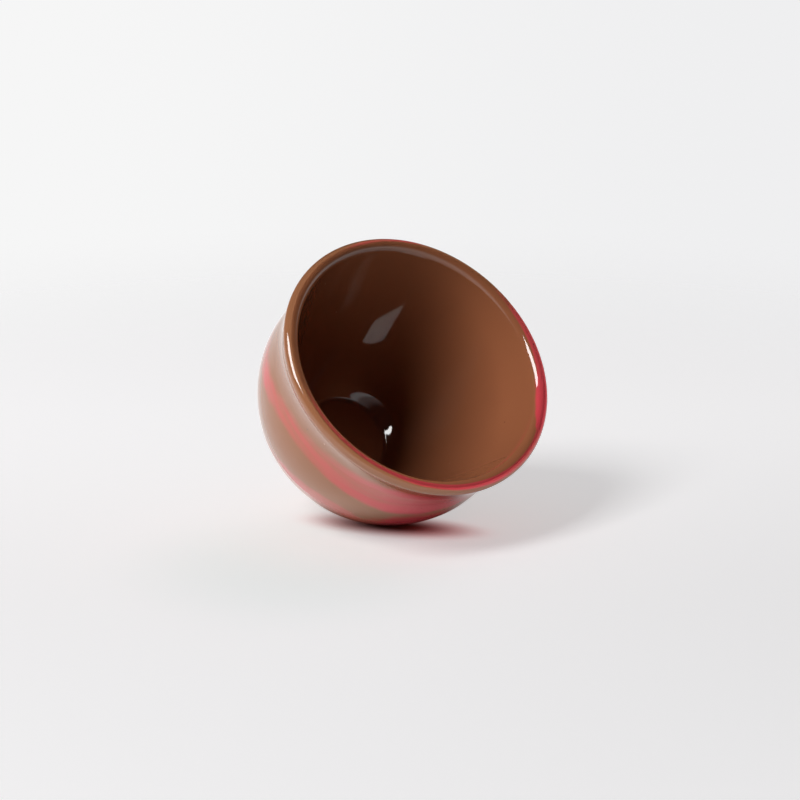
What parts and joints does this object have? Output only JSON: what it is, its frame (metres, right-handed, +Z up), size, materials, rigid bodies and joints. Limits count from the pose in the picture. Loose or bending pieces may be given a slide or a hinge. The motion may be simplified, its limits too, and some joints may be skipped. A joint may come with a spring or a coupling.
{
  "type": "cappuccino cup",
  "caption": "Handle-less cup with a round bowl, flared rounded lip and flat base, of brown cased glass with red trails wound into its outer wall, for a hot coffee drink.",
  "frame": {"origin": "centre of the flat ground base, where the cup stands", "axes": "+Z up along the cup's axis, from the base to the mouth"},
  "size_m": [0.09, 0.09, 0.0605],
  "materials": {
    "brown_lining_glass": "fire-polished opaque brown glass, high gloss",
    "brown_casing_glass": "fire-polished opaque brown glass, high gloss",
    "red_trail_glass": "opaque red to pink glass, marvered flush, high gloss"
  },
  "bodies": {
    "root": {"brown_lining": "brown_lining_glass", "brown_casing": "brown_casing_glass", "red_trail_lip": "red_trail_glass", "red_trail_waist": "red_trail_glass", "red_trail_bowl": "red_trail_glass", "red_trail_back": "red_trail_glass"}
  },
  "joints": []
}
